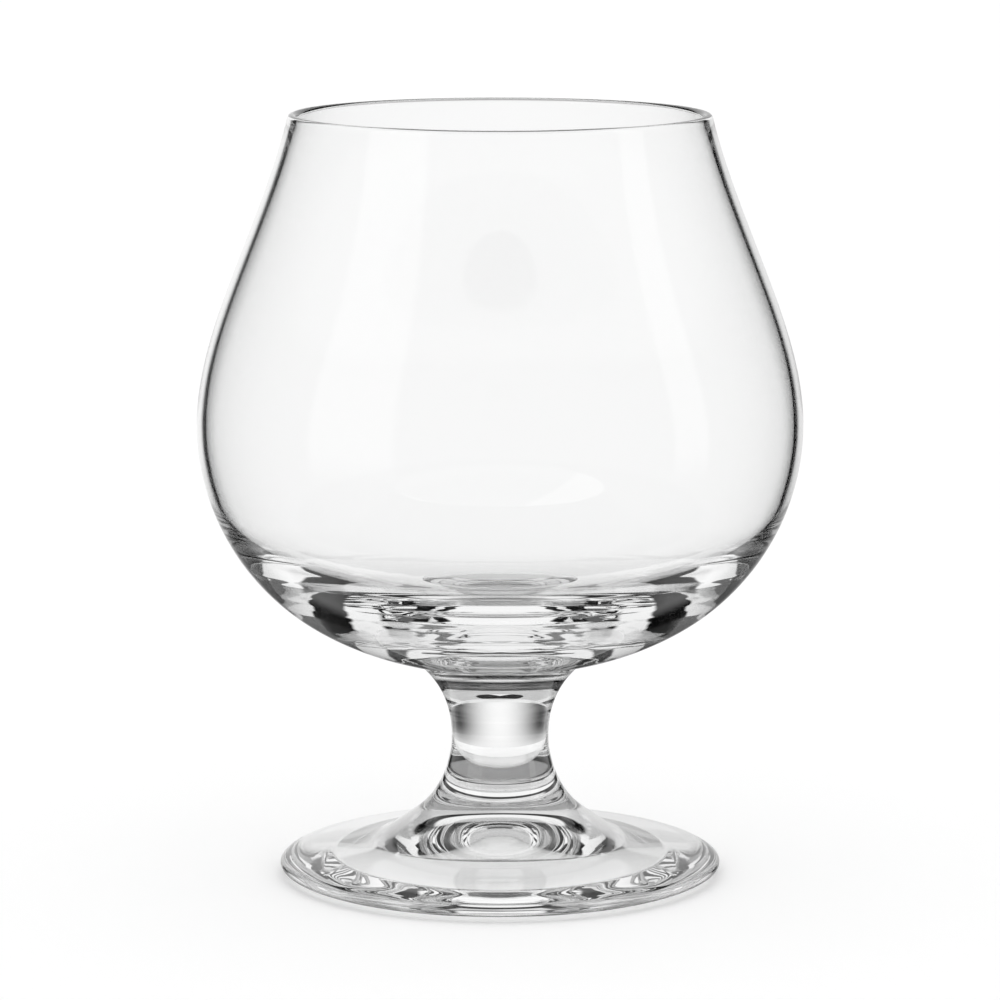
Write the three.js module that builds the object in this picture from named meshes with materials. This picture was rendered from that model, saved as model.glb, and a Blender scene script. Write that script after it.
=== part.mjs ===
// Beer snifter in clear glass: a blown bowl, a solid waisted stem and a pressed foot, joined end to end while hot.
// Millimetres, +Z up. The origin is the centre of the plane that the foot rests on.
import * as THREE from 'three';

// Foot
const FOOT_DIAMETER = 78.6;
const FOOT_EDGE_HEIGHT = 1.9; // height of the foot's widest line
const FOOT_EDGE_THICKNESS = 3.95; // where the conical top ends and the rolled edge begins
const FOOT_ROLL_TOP = 4.1; // how far in the rolled edge begins, above the widest line
const FOOT_ROLL_UNDER = 5.6; // how far in it ends, below the widest line
const FOOT_TOP_SLOPE = 9; // degrees
const FOOT_HEIGHT = 10.2; // up to the joint with the stem
const FOOT_FLARE_WIDTH = 8; // radial width of the hollow curve between the joint and the conical top
const RESTING_RING_WIDTH = 4.6;
const HOLLOW_DEPTH = 8; // of the domed hollow under the foot
const HOLLOW_SPREAD = 9; // how far out its top stays nearly flat
const HOLLOW_SLOPE = 9; // degrees, where it leaves the resting ring
const HOLLOW_EASE = 14; // how straight it leaves the ring

// Stem
const STEM_LENGTH = 28.2;
const STEM_WAIST_DIAMETER = 17.2;
const STEM_WAIST_HEIGHT = 14.4; // above the joint with the foot
const STEM_FOOT_DIAMETER = 32.4; // of the joint with the foot
const STEM_BOWL_DIAMETER = 30.4; // of the joint with the bowl
const FLARE_SLOPE_LOW = 33; // degrees from level, where the stem runs into the foot
const FLARE_SLOPE_TOP = 38; // degrees from level, where the stem meets the bowl
const WAIST_EASE_LOW = 3.6; // how straight the stem leaves its waist, downwards
const WAIST_EASE_TOP = 5.6; // and upwards
const FLARE_EASE_LOW = 7.4; // how straight it runs into the foot
const FLARE_EASE_TOP = 5.8; // and into the bowl

// Bowl
const BELLY_DIAMETER = 107;
const BELLY_ARC = 41.5; // radius of the outline round the belly
const BASE_ARC = 54; // radius of the flatter outline under the belly
const BASE_ARC_START = 60; // degrees below level, where the flatter outline takes over
const SHOULDER_HEIGHT = 52.24; // from the belly to the foot of the rim
const MOUTH_DIAMETER = 75.35; // outside, at the foot of the rim
const MOUTH_LEAN = 16; // degrees that the wall leans in at the top
const BELLY_EASE = 16; // how straight the shoulder leaves the belly
const MOUTH_EASE = 20.9; // how straight it reaches the mouth
const WALL = 1.6;
const RIM_SWELL = 0.12; // how far the melted rim stands proud of each side of the wall
const RIM_EASE = 2; // length over which the wall swells to the rim
const FLOOR_THICKNESS = 8; // of the bowl's floor, on the axis
const FLOOR_SPREAD = 28.3; // how far out the floor stays nearly flat
const HEEL_ANGLE = 19.6; // degrees below the belly, where the inner wall leaves the outer one
const HEEL_EASE = 13.4; // how steeply the inner wall starts down to the floor

// Facets
const TURN_SEGMENTS = 48;
const BOWL_STEP = 3.5; // length of a facet along an outline
const STEM_STEP = 2.2;
const FOOT_STEP = 2.4;
const LEAST_STEPS = 6; // in any curve

const GLASS = { color: 0xeef3f2, roughness: 0.02, metalness: 0, transparent: true, opacity: 0.4 };

const point = (radius, height) => new THREE.Vector2(radius, height);
const radians = THREE.MathUtils.degToRad;
const line = (from, to) => new THREE.LineCurve(from, to);
const curve = (from, handle, otherHandle, to) => new THREE.CubicBezierCurve(from, handle, otherHandle, to);

// A point at a distance from another, in a direction given in degrees above level.
function along(from, distance, degrees) {
  const direction = point(Math.cos(radians(degrees)), Math.sin(radians(degrees)));
  return from.clone().addScaledVector(direction, distance);
}

function arc(centre, radius, fromDegrees, toDegrees) {
  const clockwise = toDegrees < fromDegrees;
  const [start, end] = [radians(fromDegrees), radians(toDegrees)];
  return new THREE.EllipseCurve(centre.x, centre.y, radius, radius, start, end, clockwise);
}

// A quarter of an ellipse, leaving one point along an axis and reaching the other along the other axis.
function quarterRound(from, corner, to) {
  const roundness = 0.5523;
  return curve(from, from.clone().lerp(corner, roundness), to.clone().lerp(corner, roundness), to);
}

// The points of an outline that is made of lines and curves, end to end.
function trace(curves, step) {
  const points = [curves[0].getPoint(0)];
  for (const one of curves) {
    const isLine = one instanceof THREE.LineCurve;
    const steps = isLine ? 1 : Math.max(LEAST_STEPS, Math.ceil(one.getLength() / step));
    points.push(...one.getPoints(steps).slice(1));
  }
  return points;
}

// A solid turned round the Z axis. Its outline runs from the axis to the axis, anticlockwise.
function turned(name, outline, step) {
  const geometry = new THREE.LatheGeometry(trace(outline, step), TURN_SEGMENTS);
  geometry.rotateX(Math.PI / 2);
  const mesh = new THREE.Mesh(geometry, new THREE.MeshStandardMaterial(GLASS));
  mesh.name = name;
  return mesh;
}

// Foot: a domed underside, a flat resting ring, a rolled edge, a conical top and a flare up to the stem's joint.
function makeFoot() {
  const edge = point(FOOT_DIAMETER / 2, FOOT_EDGE_HEIGHT);
  const ringOuter = point(edge.x - FOOT_ROLL_UNDER, 0);
  const ringInner = point(ringOuter.x - RESTING_RING_WIDTH, 0);
  const hollowTop = point(0, HOLLOW_DEPTH);

  const topEnd = point(edge.x - FOOT_ROLL_TOP, FOOT_EDGE_THICKNESS);
  const rollCorner = along(topEnd, FOOT_ROLL_TOP / Math.cos(radians(FOOT_TOP_SLOPE)), -FOOT_TOP_SLOPE);
  const joint = point(STEM_FOOT_DIAMETER / 2, FOOT_HEIGHT);
  const flareWidth = Math.min(FOOT_FLARE_WIDTH, topEnd.x - joint.x);
  const flareReach = (topEnd.x - joint.x - flareWidth) / Math.cos(radians(FOOT_TOP_SLOPE));
  const flareEnd = along(topEnd, flareReach, 180 - FOOT_TOP_SLOPE);
  const flareEase = flareWidth / 3;

  return turned('foot', [
    curve(
      hollowTop,
      along(hollowTop, HOLLOW_SPREAD, 0),
      along(ringInner, HOLLOW_EASE, 180 - HOLLOW_SLOPE),
      ringInner,
    ),
    line(ringInner, ringOuter),
    quarterRound(ringOuter, point(edge.x, 0), edge),
    quarterRound(edge, rollCorner, topEnd),
    line(topEnd, flareEnd),
    curve(
      flareEnd,
      along(flareEnd, flareEase, 180 - FOOT_TOP_SLOPE),
      along(joint, flareEase, -FLARE_SLOPE_LOW),
      joint,
    ),
    line(joint, point(0, FOOT_HEIGHT)),
  ], FOOT_STEP);
}

// Stem: solid, drawn in at the waist, with both ends flat where they are joined.
function makeStem() {
  const top = FOOT_HEIGHT + STEM_LENGTH;
  const lowEnd = point(STEM_FOOT_DIAMETER / 2, FOOT_HEIGHT);
  const topEnd = point(STEM_BOWL_DIAMETER / 2, top);
  const waist = point(STEM_WAIST_DIAMETER / 2, FOOT_HEIGHT + STEM_WAIST_HEIGHT);

  return turned('stem', [
    line(point(0, FOOT_HEIGHT), lowEnd),
    curve(
      lowEnd,
      along(lowEnd, FLARE_EASE_LOW, 180 - FLARE_SLOPE_LOW),
      along(waist, WAIST_EASE_LOW, -90),
      waist,
    ),
    curve(
      waist,
      along(waist, WAIST_EASE_TOP, 90),
      along(topEnd, FLARE_EASE_TOP, 180 + FLARE_SLOPE_TOP),
      topEnd,
    ),
    line(topEnd, point(0, top)),
  ], STEM_STEP);
}

// The wall's outline from the belly up to the rim, outside or, set in by the wall, inside.
function shoulder(belly, inset) {
  const start = point(belly.x - inset, belly.y);
  const end = along(point(MOUTH_DIAMETER / 2, belly.y + SHOULDER_HEIGHT), -inset, MOUTH_LEAN);
  return curve(start, along(start, BELLY_EASE, 90), along(end, MOUTH_EASE, MOUTH_LEAN - 90), end);
}

// The slight swell from the end of a wall up to the rounded rim: outwards or, with a negative amount, inwards.
function swell(from, amount) {
  const up = MOUTH_LEAN + 90;
  const to = along(along(from, RIM_EASE, up), amount, MOUTH_LEAN);
  return curve(from, along(from, RIM_EASE / 2, up), along(to, -RIM_EASE / 2, up), to);
}

const reversed = (one) => curve(one.v3, one.v2, one.v1, one.v0);

// Bowl: two tangent arcs up to the belly, a long shoulder, a melted rim, an inner wall beside the outer one and a
// thick floor.
function makeBowl() {
  const base = FOOT_HEIGHT + STEM_LENGTH;
  const joint = point(STEM_BOWL_DIAMETER / 2, base);
  const bellyRadius = BELLY_DIAMETER / 2;

  // Both arcs' centres, from the tangent point that they share and from the joint that the lower arc ends on.
  const centreStep = along(point(0, 0), BELLY_ARC - BASE_ARC, -BASE_ARC_START);
  const baseCentreX = bellyRadius - BELLY_ARC + centreStep.x;
  const jointAngle = THREE.MathUtils.radToDeg(Math.acos((joint.x - baseCentreX) / BASE_ARC));
  const baseCentre = along(joint, -BASE_ARC, -jointAngle);
  const bellyCentre = baseCentre.clone().sub(centreStep);
  const belly = point(bellyRadius, bellyCentre.y);

  const outer = shoulder(belly, 0);
  const inner = shoulder(belly, WALL);
  const outerSwell = swell(outer.v3, RIM_SWELL);
  const innerSwell = swell(inner.v3, -RIM_SWELL);
  const rimCentre = outerSwell.v3.clone().lerp(innerSwell.v3, 0.5);

  const innerArc = BELLY_ARC - WALL;
  const heel = along(bellyCentre, innerArc, -HEEL_ANGLE);
  const floor = point(0, base + FLOOR_THICKNESS);
  return turned('bowl', [
    line(point(0, base), joint),
    arc(baseCentre, BASE_ARC, -jointAngle, -BASE_ARC_START),
    arc(bellyCentre, BELLY_ARC, -BASE_ARC_START, 0),
    outer,
    outerSwell,
    arc(rimCentre, WALL / 2 + RIM_SWELL, MOUTH_LEAN, MOUTH_LEAN + 180),
    reversed(innerSwell),
    reversed(inner),
    arc(bellyCentre, innerArc, 0, -HEEL_ANGLE),
    curve(heel, along(heel, HEEL_EASE, -90 - HEEL_ANGLE), along(floor, FLOOR_SPREAD, 0), floor),
  ], BOWL_STEP);
}

const snifter = new THREE.Group();
snifter.name = 'snifter';
snifter.add(makeFoot(), makeStem(), makeBowl());

export default snifter;
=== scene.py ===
"""A beer snifter in clear glass on a white sweep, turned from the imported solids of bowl, stem and foot."""

import math

import bpy
import numpy as np
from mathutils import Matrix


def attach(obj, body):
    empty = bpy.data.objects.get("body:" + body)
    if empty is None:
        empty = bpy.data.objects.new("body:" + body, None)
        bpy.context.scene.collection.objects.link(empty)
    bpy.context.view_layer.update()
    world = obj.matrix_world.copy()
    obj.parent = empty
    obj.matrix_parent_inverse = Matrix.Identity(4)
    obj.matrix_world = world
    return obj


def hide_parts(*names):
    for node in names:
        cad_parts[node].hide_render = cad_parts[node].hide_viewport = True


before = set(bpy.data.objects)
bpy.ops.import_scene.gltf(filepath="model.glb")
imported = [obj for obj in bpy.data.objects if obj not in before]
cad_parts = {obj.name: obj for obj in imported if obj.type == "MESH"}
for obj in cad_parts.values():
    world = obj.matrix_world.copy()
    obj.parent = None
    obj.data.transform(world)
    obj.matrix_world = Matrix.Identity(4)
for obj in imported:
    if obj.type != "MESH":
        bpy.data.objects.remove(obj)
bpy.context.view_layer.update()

PIECES = ("foot", "stem", "bowl")
BODY = "root"
MM = 0.001

# Turned surfaces
TURNS = 192
SPACING = 0.6 * MM  # most between the rings of a turned piece, along its outline
TURN_PER_RING = math.radians(5)  # most that an outline turns from one ring to the next
LEAST_CORNER = math.radians(5)  # a smaller turn in an outline is never a corner
CORNER_SHARE = 2.5  # a corner turns this many times as much as its neighbours
MIRRORED = 3  # points repeated beyond the axis, so that an outline crosses it level
CREASE = math.radians(30)
NEAR_AXIS = 1e-6

# Unevenness of hand-finished glass, as radial waves round the axis:
# (how far in metres, waves, twist per metre, start)
WAVES = (
    (0.030 * MM, 2, 9.0, 0.4),
    (0.018 * MM, 3, -14.0, 1.9),
    (0.010 * MM, 5, 23.0, 4.1),
)
WAVES_CENTRE = 10 * MM  # radius within which they die out

# Shallow rings left by the blowing mould on the bowl's inner floor: (how far in metres, length, start)
FLOOR_RINGS = (
    (0.012 * MM, 5.2 * MM, 0.0),
    (0.007 * MM, 3.4 * MM, 1.0),
)
RINGS_BELOW = 59 * MM  # height under which the inner wall has rings
RINGS_FADE = 8 * MM  # of the rings' path, at its upper end, over which they set in
RINGS_CENTRE = 6 * MM  # radius within which they die out

# Easing of the swell under the rim
RIM_EASED = (0.9 * MM, 7 * MM)  # depths below the top of the rim
RIM_PASSES = 60

# Glass
GLASS_INDEX = 1.52
GLASS_TINTS = ((1.0, 1.0, 1.0, 1.0), (0.996, 0.999, 0.998, 1.0))
TINT_SCALE = 14.0
MIX_SHARE, MIX_COLOURS, MIX_RESULT = 0, (6, 7), 2  # sockets of a node that mixes two colours
RIPPLE_SCALE = 55.0
RIPPLE_DETAIL = 1.0
RIPPLE_STRENGTH = 0.02
RIPPLE_DEPTH = 0.02 * MM

# Camera
CAMERA_PLACE = (0.0, -0.850, 0.2025)
CAMERA_PITCH = 0.158  # radians below level
CAMERA_LENS = 174.86
CAMERA_SENSOR = 36.0

# Floor
FLOOR_HEIGHT = -0.2 * MM
FLOOR_WHITE = 0.98
FLOOR_ROUGHNESS = 0.6
NEAR_FLOOR = 0.07  # radius of the floor that shows through the glass
FAR_FLOOR = 3.0
FLOOR_SIDES = 96

# Studio. Strengths are plain numbers, and 1 is white. Sides are degrees from straight behind the glass,
# heights are the upward part of a direction, and a pair of either is where one strength gives way to another.
BOUNCES = 32
WHITE = 1.0
BLACK = 0.0
NEARLY_BLACK = 0.02
SKY = 1.05  # what lights the floor
SHADE = 0.95  # what lights it through the glass
DEEP_SHADE = 0.2  # what lights it after bounces in the glass
LEFT_TO_RIGHT = (-3.0, 3.0)  # azimuths in degrees
LEFT_FLAG, RIGHT_FLAG = 0.03, 0.0
LEFT_PANEL, RIGHT_PANEL = 0.95, 0.75
CEILING_HEIGHTS = (0.55, 0.60)

# Counts that tell apart the paths of light
ONE_WALL = 2  # surfaces crossed, of a wall or of solid glass
FEW_BOUNCES = 2

# Straight through
FLAGS_PER_TURN = 4
FLAG_DEPTHS = (0.5, 0.2)  # half of what a flag takes away, behind the glass and before it
FLAG_DEPTH_SIDES = (80.0, 100.0)
SOLID_FLOOR = 0.92
SOLID_FLOOR_HEIGHTS = (-0.50, 0.0)
SOLID_CEILING = 0.03
SOLID_CEILING_HEIGHTS = (0.60, 0.75)
GREY_FLOOR = (-0.90, -0.52, 0.08)  # lowest and highest height, and softness
GREY_FLOOR_SIDES = (24.0, 32.0)
GREY_IN_SOLID = 0.45
GREY_IN_WALLS = 0.12

# Mirrored
LEFT_BOX = (-142.0, -102.0, 4.0)  # first and last azimuth, and softness
RIGHT_BOX = (94.0, 113.0, 3.0)
BOX_HEIGHTS = (-0.35, -0.05)
BOX_STRENGTH = 0.7
ROOM_STRENGTHS = (0.93, 0.88)  # beside the glass, and before it
ROOM_SIDES = (80.0, 110.0)
ROOM_FROM_SIDES = (34.0, 48.0)
PANEL_TO_SIDES = (23.0, 28.0)
MIRRORED_LOW = 0.1  # share of light that is left low down
ROOM_LOW_HEIGHTS = (-0.88, -0.75)
PANEL_LOW_HEIGHTS = (-0.35, -0.15)

# After one or two bounces
EDGE_PANELS = (0.75, 0.60)  # left and right
EDGE_PANEL_SIDES = (17.5, 21.5)
EDGE_LOW = 0.3
EDGE_LOW_HEIGHTS = (-0.30, -0.08)
EDGE_TOP_HEIGHTS = (0.28, 0.32)
LAMP = 0.95
LAMP_SIDES = (32.0, 40.0)
LAMP_HEIGHTS = (0.45, 0.50)

# After more bounces
BARS_PER_HEIGHT = 70.0
BARS_START = -8.0
BAR_SOFTNESS = 0.25
BARS_HEIGHTS = (0.08, 0.12)
HEEL_BAR = (20.5, 28.0)
HEEL_FLAG = 39.5
HEEL_WINDOW = (55.0, 76.5)
HEEL_WINDOW_LOW = 0.12
HEEL_WINDOW_HEIGHTS = (0.02, 0.06)
HEEL_ROOM = 0.5
HEEL_ROOM_SIDE = 112.0
SOFT = 1.0  # degrees to each side of a mark
SOFTER = 2.0

# After bounces, through two walls
SHELL_ROOM = 0.78
SHELL_LOW_HEIGHTS = (-0.6, -0.4)
SHELL_STRIP_SIDES = (9.0, 12.0)
SHELL_STRIP_HEIGHTS = (0.10, 0.14)
SHELL_LAMP = 0.95
SHELL_BAR = (20.5, 29.5)
SHELL_DARK_SIDE = 72.0
SHELL_CEILING = 0.55  # after one bounce


def meridian(node):
    """The outline of a turned solid as (radius, height) points, from the axis round to the axis."""
    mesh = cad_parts[node].data
    places = {}
    for vertex in mesh.vertices:
        x, y, z = vertex.co
        if abs(x) < NEAR_AXIS and y < NEAR_AXIS:
            places[vertex.index] = (round(max(0.0, -y) / NEAR_AXIS), round(z / NEAR_AXIS))
    neighbours = {}
    for edge in mesh.edges:
        one, other = (places.get(vertex) for vertex in edge.vertices)
        if one is not None and other is not None and one != other:
            neighbours.setdefault(one, set()).add(other)
            neighbours.setdefault(other, set()).add(one)
    here = min((place for place in neighbours if place[0] == 0), key=lambda place: place[1])
    walk = [here]
    while True:
        onward = neighbours[here] - set(walk)
        if not onward:
            break
        here = min(onward, key=lambda place: math.dist(place, here))
        walk.append(here)
    return np.array(walk) * NEAR_AXIS


def turns_of(points):
    """How much an outline turns at each of its points."""
    steps = np.diff(points, axis=0)
    headings = np.arctan2(steps[:, 1], steps[:, 0])
    inner = np.abs((np.diff(headings) + math.pi) % (2 * math.pi) - math.pi)
    return np.concatenate([[0.0], inner, [0.0]])


def corners_of(turns):
    """The places of an outline's ends and corners."""
    found = [0]
    for i in range(1, len(turns) - 1):
        beside = max(turns[i - 1], turns[i + 1])
        if turns[i] > max(LEAST_CORNER, CORNER_SHARE * beside):
            found.append(i)
    return found + [len(turns) - 1]


def bends_of(points, chords):
    """Second derivatives of the natural cubic spline through some points."""
    system = np.eye(len(points))
    pull = np.zeros_like(points)
    for i in range(1, len(points) - 1):
        before, after = chords[i - 1], chords[i]
        system[i, i - 1:i + 2] = before, 2 * (before + after), after
        pull[i] = 6 * ((points[i + 1] - points[i]) / after - (points[i] - points[i - 1]) / before)
    return np.linalg.solve(system, pull)


def smoothed(points, turns):
    """Closely spaced points on a smooth curve through an outline's points, which it keeps."""
    mirror = np.array([-1.0, 1.0])
    before = points[1:1 + MIRRORED][::-1] * mirror if points[0][0] == 0 else points[:0]
    after = points[-1 - MIRRORED:-1][::-1] * mirror if points[-1][0] == 0 else points[:0]
    run = np.concatenate([before, points, after])
    chords = np.linalg.norm(np.diff(run, axis=0), axis=1)
    bends = bends_of(run, chords)
    made = [points[0]]
    for i in range(len(points) - 1):
        j = i + len(before)
        span = chords[j]
        turn = (turns[i] + turns[i + 1]) / 2
        steps = max(1, math.ceil(span / SPACING), math.ceil(turn / TURN_PER_RING))
        for k in range(1, steps + 1):
            done = span * k / steps
            left = span - done
            made.append(
                bends[j] * left**3 / (6 * span) + bends[j + 1] * done**3 / (6 * span)
                + (run[j] / span - bends[j] * span / 6) * left
                + (run[j + 1] / span - bends[j + 1] * span / 6) * done)
    return made


def full_outline(node):
    """A piece's closely spaced outline, with the place in it of each corner."""
    points = meridian(node)
    turns = turns_of(points)
    corners = corners_of(turns)
    made = [points[0]]
    places = [0]
    for first, last in zip(corners, corners[1:]):
        part = turns[first:last + 1].copy()
        part[0] = part[-1] = 0
        made += smoothed(points[first:last + 1], part)[1:]
        places.append(len(made) - 1)
    return np.maximum(np.array(made), 0.0), places


def with_eased_rim(outline):
    """The bowl's outline with a gentle swell to its rim, on both sides of the wall."""
    deep = outline[:, 1].max() - outline[:, 1]
    eased = np.flatnonzero((deep > RIM_EASED[0]) & (deep < RIM_EASED[1]))
    made = outline.copy()
    for _ in range(RIM_PASSES):
        before = np.linalg.norm(made[eased] - made[eased - 1], axis=1)[:, None]
        after = np.linalg.norm(made[eased + 1] - made[eased], axis=1)[:, None]
        between = (made[eased - 1] * after + made[eased + 1] * before) / (before + after)
        made[eased] = (made[eased] + between) / 2
    return made


def with_floor_rings(outline):
    """The bowl's outline with shallow rings on its inner floor."""
    rim = int(np.argmax(outline[:, 1]))
    first = rim + int(np.argmax(outline[rim:, 1] < RINGS_BELOW))
    floor = outline[first:]
    far = np.concatenate([[0.0], np.cumsum(np.linalg.norm(np.diff(floor, axis=0), axis=1))])
    heading = np.gradient(floor, axis=0)
    across = np.stack([heading[:, 1], -heading[:, 0]], axis=1) / np.linalg.norm(heading, axis=1)[:, None]
    fade = np.minimum(1.0, far / RINGS_FADE) * np.minimum(1.0, floor[:, 0] / RINGS_CENTRE)
    rings = sum(depth * np.sin(2 * math.pi * far / length + start) for depth, length, start in FLOOR_RINGS)
    made = outline.copy()
    made[first:] += across * (rings * fade)[:, None]
    return made


def unevenness(angles, height):
    return sum(far * np.sin(waves * angles + twist * height + start) for far, waves, twist, start in WAVES)


def rings_of(outline):
    """The vertices of an outline turned round the Z axis, with each ring's places among them."""
    angles = np.arange(TURNS) * (2 * math.pi / TURNS)
    vertices = []
    rings = []
    for radius, height in outline:
        start = len(vertices)
        if radius < NEAR_AXIS:
            vertices.append((0.0, 0.0, height))
            rings.append([start] * TURNS)
            continue
        reach = radius + unevenness(angles, height) * min(1.0, radius / WAVES_CENTRE)
        vertices += zip(reach * np.cos(angles), reach * np.sin(angles), np.full(TURNS, height))
        rings.append(list(range(start, start + TURNS)))
    return vertices, rings


def band(low, high):
    """The faces between two rings. They are triangles beside a ring that is a point on the axis."""
    faces = []
    for k in range(TURNS):
        n = (k + 1) % TURNS
        corners = (low[k], low[n], high[n], high[k])
        faces.append(list(dict.fromkeys(corners)))
    return faces


def is_joint(outline, first, last):
    """True for the flat end of a piece, which is joined to the next one."""
    level = abs(outline[first][1] - outline[last][1]) < NEAR_AXIS
    reaches_axis = outline[first][0] < NEAR_AXIS or outline[last][0] < NEAR_AXIS
    return level and reaches_axis


def turned(name, materials):
    """A piece turned from its solid's outline. Its flat joined ends take the second material."""
    outline, corners = full_outline(name)
    if name == "bowl":
        outline = with_floor_rings(with_eased_rim(outline))
    joints = [(first, last) for first, last in zip(corners, corners[1:]) if is_joint(outline, first, last)]
    vertices, rings = rings_of(outline)
    faces = []
    kinds = []
    for i, (low, high) in enumerate(zip(rings, rings[1:])):
        joined = any(first <= i < last for first, last in joints)
        faces += band(low, high)
        kinds += [int(joined)] * TURNS
    mesh = bpy.data.meshes.new(name + "_glass")
    mesh.from_pydata(vertices, [], faces)
    for material in materials:
        mesh.materials.append(material)
    mesh.polygons.foreach_set("material_index", kinds)
    mesh.shade_smooth()
    mesh.set_sharp_from_angle(angle=CREASE)
    piece = bpy.data.objects.new(name + "_glass", mesh)
    bpy.context.scene.collection.objects.link(piece)
    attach(piece, BODY)
    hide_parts(name)


class Graph:
    """Short calls for a node tree. An output is linked to a socket, and any other value is set on it."""

    def __init__(self, tree):
        self.tree = tree

    def add(self, kind, **settings):
        node = self.tree.nodes.new(kind)
        for name, value in settings.items():
            setattr(node, name, value)
        return node

    def put(self, socket, value):
        if isinstance(value, bpy.types.NodeSocket):
            self.tree.links.new(value, socket)
        else:
            socket.default_value = value

    def math(self, operation, *values):
        node = self.add("ShaderNodeMath", operation=operation)
        for socket, value in zip(node.inputs, values):
            self.put(socket, value)
        return node.outputs[0]

    def times(self, one, other):
        return self.math("MULTIPLY", one, other)

    def over(self, count, limit):
        """1 where a count is over a whole number, and 0 elsewhere."""
        return self.math("GREATER_THAN", count, limit + 0.5)

    def ramp(self, value, low, high, at_low=0.0, at_high=1.0):
        """A smooth step from one strength to another, while a value goes from low to high."""
        node = self.add("ShaderNodeMapRange", interpolation_type="SMOOTHSTEP")
        given = {"Value": value, "From Min": low, "From Max": high, "To Min": at_low, "To Max": at_high}
        for name, one in given.items():
            self.put(node.inputs[name], one)
        return node.outputs["Result"]

    def choose(self, share, one, other):
        """One strength where share is 0, and the other where it is 1."""
        kept = self.times(one, self.math("SUBTRACT", 1.0, share))
        return self.math("ADD", kept, self.times(other, share))

    def between(self, value, low, high, soft):
        """1 between two values, with soft ends, and 0 elsewhere."""
        return self.times(self.ramp(value, low, low + soft), self.ramp(value, high - soft, high, 1.0, 0.0))

    def stepped(self, value, strength, marks):
        """A strength that changes as a value passes some marks: (mark, how softly, next strength)."""
        for mark, soft, onward in marks:
            strength = self.choose(self.ramp(value, mark - soft, mark + soft), strength, onward)
        return strength


def glass_material():
    """Clear glass with a trace of green and faint ripples."""
    material = bpy.data.materials.new("clear_glass")
    material.use_nodes = True
    graph = Graph(material.node_tree)
    shader = material.node_tree.nodes["Principled BSDF"]
    graph.put(shader.inputs["Roughness"], 0.0)
    graph.put(shader.inputs["IOR"], GLASS_INDEX)
    graph.put(shader.inputs["Transmission Weight"], 1.0)
    place = graph.add("ShaderNodeTexCoord").outputs["Object"]

    cloud = graph.add("ShaderNodeTexNoise")
    graph.put(cloud.inputs["Vector"], place)
    graph.put(cloud.inputs["Scale"], TINT_SCALE)
    tint = graph.add("ShaderNodeMix", data_type="RGBA")
    graph.put(tint.inputs[MIX_SHARE], cloud.outputs["Fac"])
    for socket, colour in zip(MIX_COLOURS, GLASS_TINTS):
        graph.put(tint.inputs[socket], colour)
    graph.put(shader.inputs["Base Color"], tint.outputs[MIX_RESULT])

    ripple = graph.add("ShaderNodeTexNoise")
    graph.put(ripple.inputs["Vector"], place)
    graph.put(ripple.inputs["Scale"], RIPPLE_SCALE)
    graph.put(ripple.inputs["Detail"], RIPPLE_DETAIL)
    bump = graph.add("ShaderNodeBump")
    graph.put(bump.inputs["Strength"], RIPPLE_STRENGTH)
    graph.put(bump.inputs["Distance"], RIPPLE_DEPTH)
    graph.put(bump.inputs["Height"], ripple.outputs["Fac"])
    graph.put(shader.inputs["Normal"], bump.outputs["Normal"])
    return material


def weld_material():
    """Glass against glass, where two pieces are joined: nothing shows."""
    material = bpy.data.materials.new("joined_glass")
    material.use_nodes = True
    shader = material.node_tree.nodes["Principled BSDF"]
    shader.inputs["Alpha"].default_value = 0.0
    return material


def floor_material():
    material = bpy.data.materials.new("floor")
    material.use_nodes = True
    shader = material.node_tree.nodes["Principled BSDF"]
    shader.inputs["Base Color"].default_value = (FLOOR_WHITE, FLOOR_WHITE, FLOOR_WHITE, 1.0)
    shader.inputs["Roughness"].default_value = FLOOR_ROUGHNESS
    shader.inputs["Specular IOR Level"].default_value = 0.0
    return material


def floor_ring(name, inner, outer, seen_through_glass, material):
    """A flat ring of floor, or a disc where its inner radius is 0. No mirrored ray sees it."""
    angles = np.arange(FLOOR_SIDES) * (2 * math.pi / FLOOR_SIDES)
    vertices = []
    for radius in (outer, inner) if inner else (outer,):
        vertices += [(radius * math.cos(angle), radius * math.sin(angle), FLOOR_HEIGHT) for angle in angles]
    faces = [tuple(range(FLOOR_SIDES))]
    if inner:
        onward = [(k, (k + 1) % FLOOR_SIDES) for k in range(FLOOR_SIDES)]
        faces = [(k, n, FLOOR_SIDES + n, FLOOR_SIDES + k) for k, n in onward]
    mesh = bpy.data.meshes.new(name)
    mesh.from_pydata(vertices, [], faces)
    mesh.materials.append(material)
    ring = bpy.data.objects.new(name, mesh)
    bpy.context.scene.collection.objects.link(ring)
    ring.visible_glossy = False
    ring.visible_transmission = seen_through_glass


class Ray:
    """Where a ray of light meets the studio, and what it has passed on its way."""

    def __init__(self, graph):
        axes = graph.add("ShaderNodeSeparateXYZ")
        graph.put(axes.inputs[0], graph.add("ShaderNodeTexCoord").outputs["Generated"])
        x, y, self.height = axes.outputs
        self.turn = graph.math("ARCTAN2", x, y)
        self.azimuth = graph.times(self.turn, math.degrees(1))
        self.side = graph.math("ABSOLUTE", self.azimuth)
        self.right = graph.ramp(self.azimuth, *LEFT_TO_RIGHT)
        self.ceiling = graph.ramp(self.height, *CEILING_HEIGHTS)
        path = graph.add("ShaderNodeLightPath").outputs
        self.from_camera = path["Is Camera Ray"]
        self.glossy = path["Is Glossy Ray"]
        self.refracted = path["Is Transmission Ray"]
        self.two_walls = graph.over(path["Transmission Depth"], ONE_WALL + 1)
        self.bounced = graph.over(path["Glossy Depth"], 0)
        self.again = graph.over(path["Glossy Depth"], 1)
        self.often = graph.over(path["Glossy Depth"], FEW_BOUNCES)
        self.to_floor = graph.over(path["Diffuse Depth"], 0)


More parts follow.
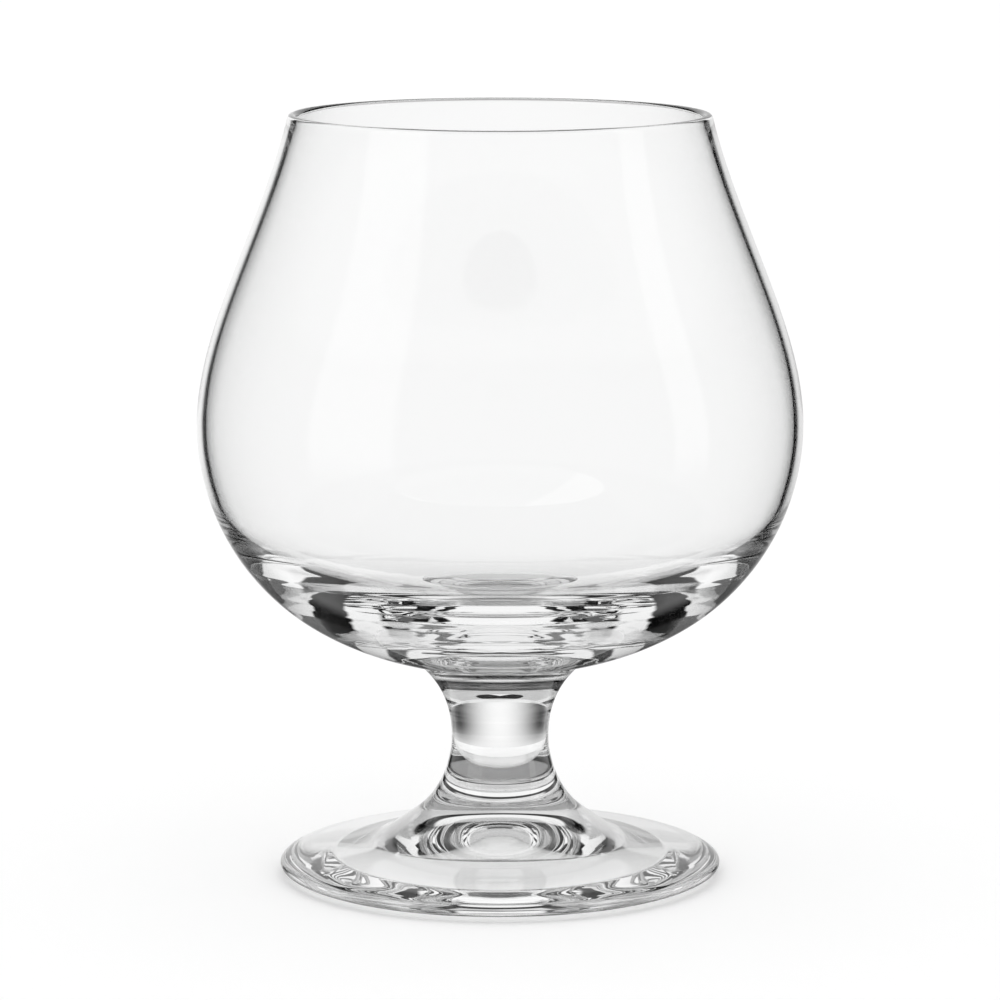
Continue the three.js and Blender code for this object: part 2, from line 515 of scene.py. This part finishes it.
def straight_light(graph, ray):
    """White through walls, and through solid glass dark flags between the quarter turns, a pale floor and a
    dark ceiling. Low behind the glass there is a grey band.
    """
    behind = graph.ramp(ray.side, *GREY_FLOOR_SIDES, 1.0, 0.0)
    grey = graph.times(graph.between(ray.height, *GREY_FLOOR), behind)
    quarters = graph.math("COSINE", graph.times(ray.turn, FLAGS_PER_TURN))
    depth = graph.ramp(ray.side, *FLAG_DEPTH_SIDES, *FLAG_DEPTHS)
    flags = graph.math("MULTIPLY_ADD", graph.math("SUBTRACT", quarters, 1.0), depth, WHITE)
    floor = graph.choose(grey, SOLID_FLOOR, GREY_IN_SOLID)
    solid = graph.choose(graph.ramp(ray.height, *SOLID_FLOOR_HEIGHTS), floor, flags)
    solid = graph.choose(graph.ramp(ray.height, *SOLID_CEILING_HEIGHTS), solid, SOLID_CEILING)
    walls = graph.choose(grey, WHITE, GREY_IN_WALLS)
    return graph.choose(ray.two_walls, solid, walls)


def mirrored_light(graph, ray):
    """A white panel behind, a dark flag on each side of it, the pale room, and two soft boxes in front."""
    boxes = graph.math("ADD", graph.between(ray.azimuth, *LEFT_BOX), graph.between(ray.azimuth, *RIGHT_BOX))
    boxes = graph.times(boxes, graph.ramp(ray.height, *BOX_HEIGHTS))
    room = graph.choose(graph.ramp(ray.side, *ROOM_SIDES), *ROOM_STRENGTHS)
    flag = graph.choose(ray.right, LEFT_FLAG, RIGHT_FLAG)
    around = graph.choose(graph.ramp(ray.side, *ROOM_FROM_SIDES), flag, room)
    around = graph.times(around, graph.ramp(ray.height, *ROOM_LOW_HEIGHTS, MIRRORED_LOW, 1.0))
    panel = graph.choose(ray.right, LEFT_PANEL, RIGHT_PANEL)
    panel = graph.times(panel, graph.ramp(ray.height, *PANEL_LOW_HEIGHTS, MIRRORED_LOW, 1.0))
    seen = graph.choose(graph.ramp(ray.side, *PANEL_TO_SIDES), panel, around)
    return graph.math("ADD", graph.times(boxes, BOX_STRENGTH), seen)


def edge_light(graph, ray):
    """After a bounce or two, as at a wall's edge: a narrow panel, flags round it, and a lamp higher up."""
    panel = graph.choose(ray.right, *EDGE_PANELS)
    flag = graph.choose(ray.right, LEFT_FLAG, RIGHT_FLAG)
    level = graph.choose(graph.ramp(ray.side, *EDGE_PANEL_SIDES), panel, flag)
    level = graph.times(level, graph.ramp(ray.height, *EDGE_LOW_HEIGHTS, EDGE_LOW, 1.0))
    level = graph.choose(graph.ramp(ray.height, *EDGE_TOP_HEIGHTS), level, BLACK)
    lamp = graph.choose(ray.again, graph.ramp(ray.side, *LAMP_SIDES, LAMP, 0.0), BLACK)
    return graph.choose(graph.ramp(ray.height, *LAMP_HEIGHTS), level, lamp)


def heel_light(graph, ray):
    """After more bounces, as in the thick heel: bars over the panel, then flags with a window between."""
    wave = graph.math("COSINE", graph.math("MULTIPLY_ADD", ray.height, BARS_PER_HEIGHT, BARS_START))
    bars = graph.ramp(wave, -BAR_SOFTNESS, BAR_SOFTNESS)
    bar_start, bar_end = HEEL_BAR
    low = graph.stepped(ray.side, WHITE, ((bar_start, SOFT, BLACK), (bar_end, SOFT, WHITE)))
    panel = graph.choose(graph.ramp(ray.height, *BARS_HEIGHTS), low, bars)
    window = graph.ramp(ray.height, *HEEL_WINDOW_HEIGHTS, HEEL_WINDOW_LOW, WHITE)
    window_start, window_end = HEEL_WINDOW
    marks = (
        (HEEL_FLAG, SOFT, BLACK),
        (window_start, SOFT, window),
        (window_end, SOFT, BLACK),
        (HEEL_ROOM_SIDE, SOFTER, HEEL_ROOM),
    )
    return graph.choose(ray.ceiling, graph.stepped(ray.side, panel, marks), NEARLY_BLACK)


def shell_light(graph, ray):
    """After bounces, through two walls: the pale room, a dark strip behind, and a barred or even ceiling."""
    low = graph.ramp(ray.height, *SHELL_LOW_HEIGHTS, WHITE, SHELL_ROOM)
    strip = graph.ramp(ray.side, *SHELL_STRIP_SIDES, BLACK, SHELL_ROOM)
    room = graph.choose(graph.ramp(ray.height, *SHELL_STRIP_HEIGHTS), low, strip)
    bar_start, bar_end = SHELL_BAR
    marks = (
        (bar_start, SOFT, BLACK),
        (bar_end, SOFT, SHELL_LAMP),
        (SHELL_DARK_SIDE, SOFT, NEARLY_BLACK),
    )
    bars = graph.stepped(ray.side, SHELL_LAMP, marks)
    return graph.choose(ray.ceiling, room, graph.choose(ray.again, SHELL_CEILING, bars))


def studio_strength(graph, ray):
    """How bright the studio is where a ray meets it. Seen directly, it is white."""
    core = graph.choose(ray.often, edge_light(graph, ray), heel_light(graph, ray))
    turned_light = graph.choose(ray.two_walls, core, shell_light(graph, ray))
    through = graph.choose(ray.bounced, straight_light(graph, ray), turned_light)
    seen = graph.choose(ray.glossy, SKY, mirrored_light(graph, ray))
    seen = graph.choose(ray.refracted, seen, through)
    shade = graph.choose(ray.bounced, SHADE, DEEP_SHADE)
    seen = graph.choose(ray.to_floor, seen, graph.choose(ray.refracted, SKY, shade))
    return graph.choose(ray.from_camera, seen, WHITE)


def make_studio():
    world = bpy.data.worlds.new("studio")
    world.use_nodes = True
    graph = Graph(world.node_tree)
    background = world.node_tree.nodes["Background"]
    graph.put(background.inputs["Color"], (1.0, 1.0, 1.0, 1.0))
    graph.put(background.inputs["Strength"], studio_strength(graph, Ray(graph)))
    scene = bpy.context.scene
    scene.world = world
    scene.view_settings.view_transform = "Standard"
    scene.cycles.blur_glossy = 0.0
    scene.cycles.max_bounces = BOUNCES
    scene.cycles.glossy_bounces = BOUNCES
    scene.cycles.transmission_bounces = BOUNCES
    scene.cycles.transparent_max_bounces = BOUNCES


def make_camera():
    data = bpy.data.cameras.new("camera")
    data.lens = CAMERA_LENS
    data.sensor_width = CAMERA_SENSOR
    camera = bpy.data.objects.new("camera", data)
    camera.location = CAMERA_PLACE
    camera.rotation_euler = (math.pi / 2 - CAMERA_PITCH, 0.0, 0.0)
    bpy.context.scene.collection.objects.link(camera)
    bpy.context.scene.camera = camera


make_camera()
make_studio()
floor_white = floor_material()
floor_ring("floor_near", 0.0, NEAR_FLOOR, True, floor_white)
floor_ring("floor_far", NEAR_FLOOR, FAR_FLOOR, False, floor_white)
glass = glass_material()
weld = weld_material()
for piece_name in PIECES:
    turned(piece_name, (glass, weld))
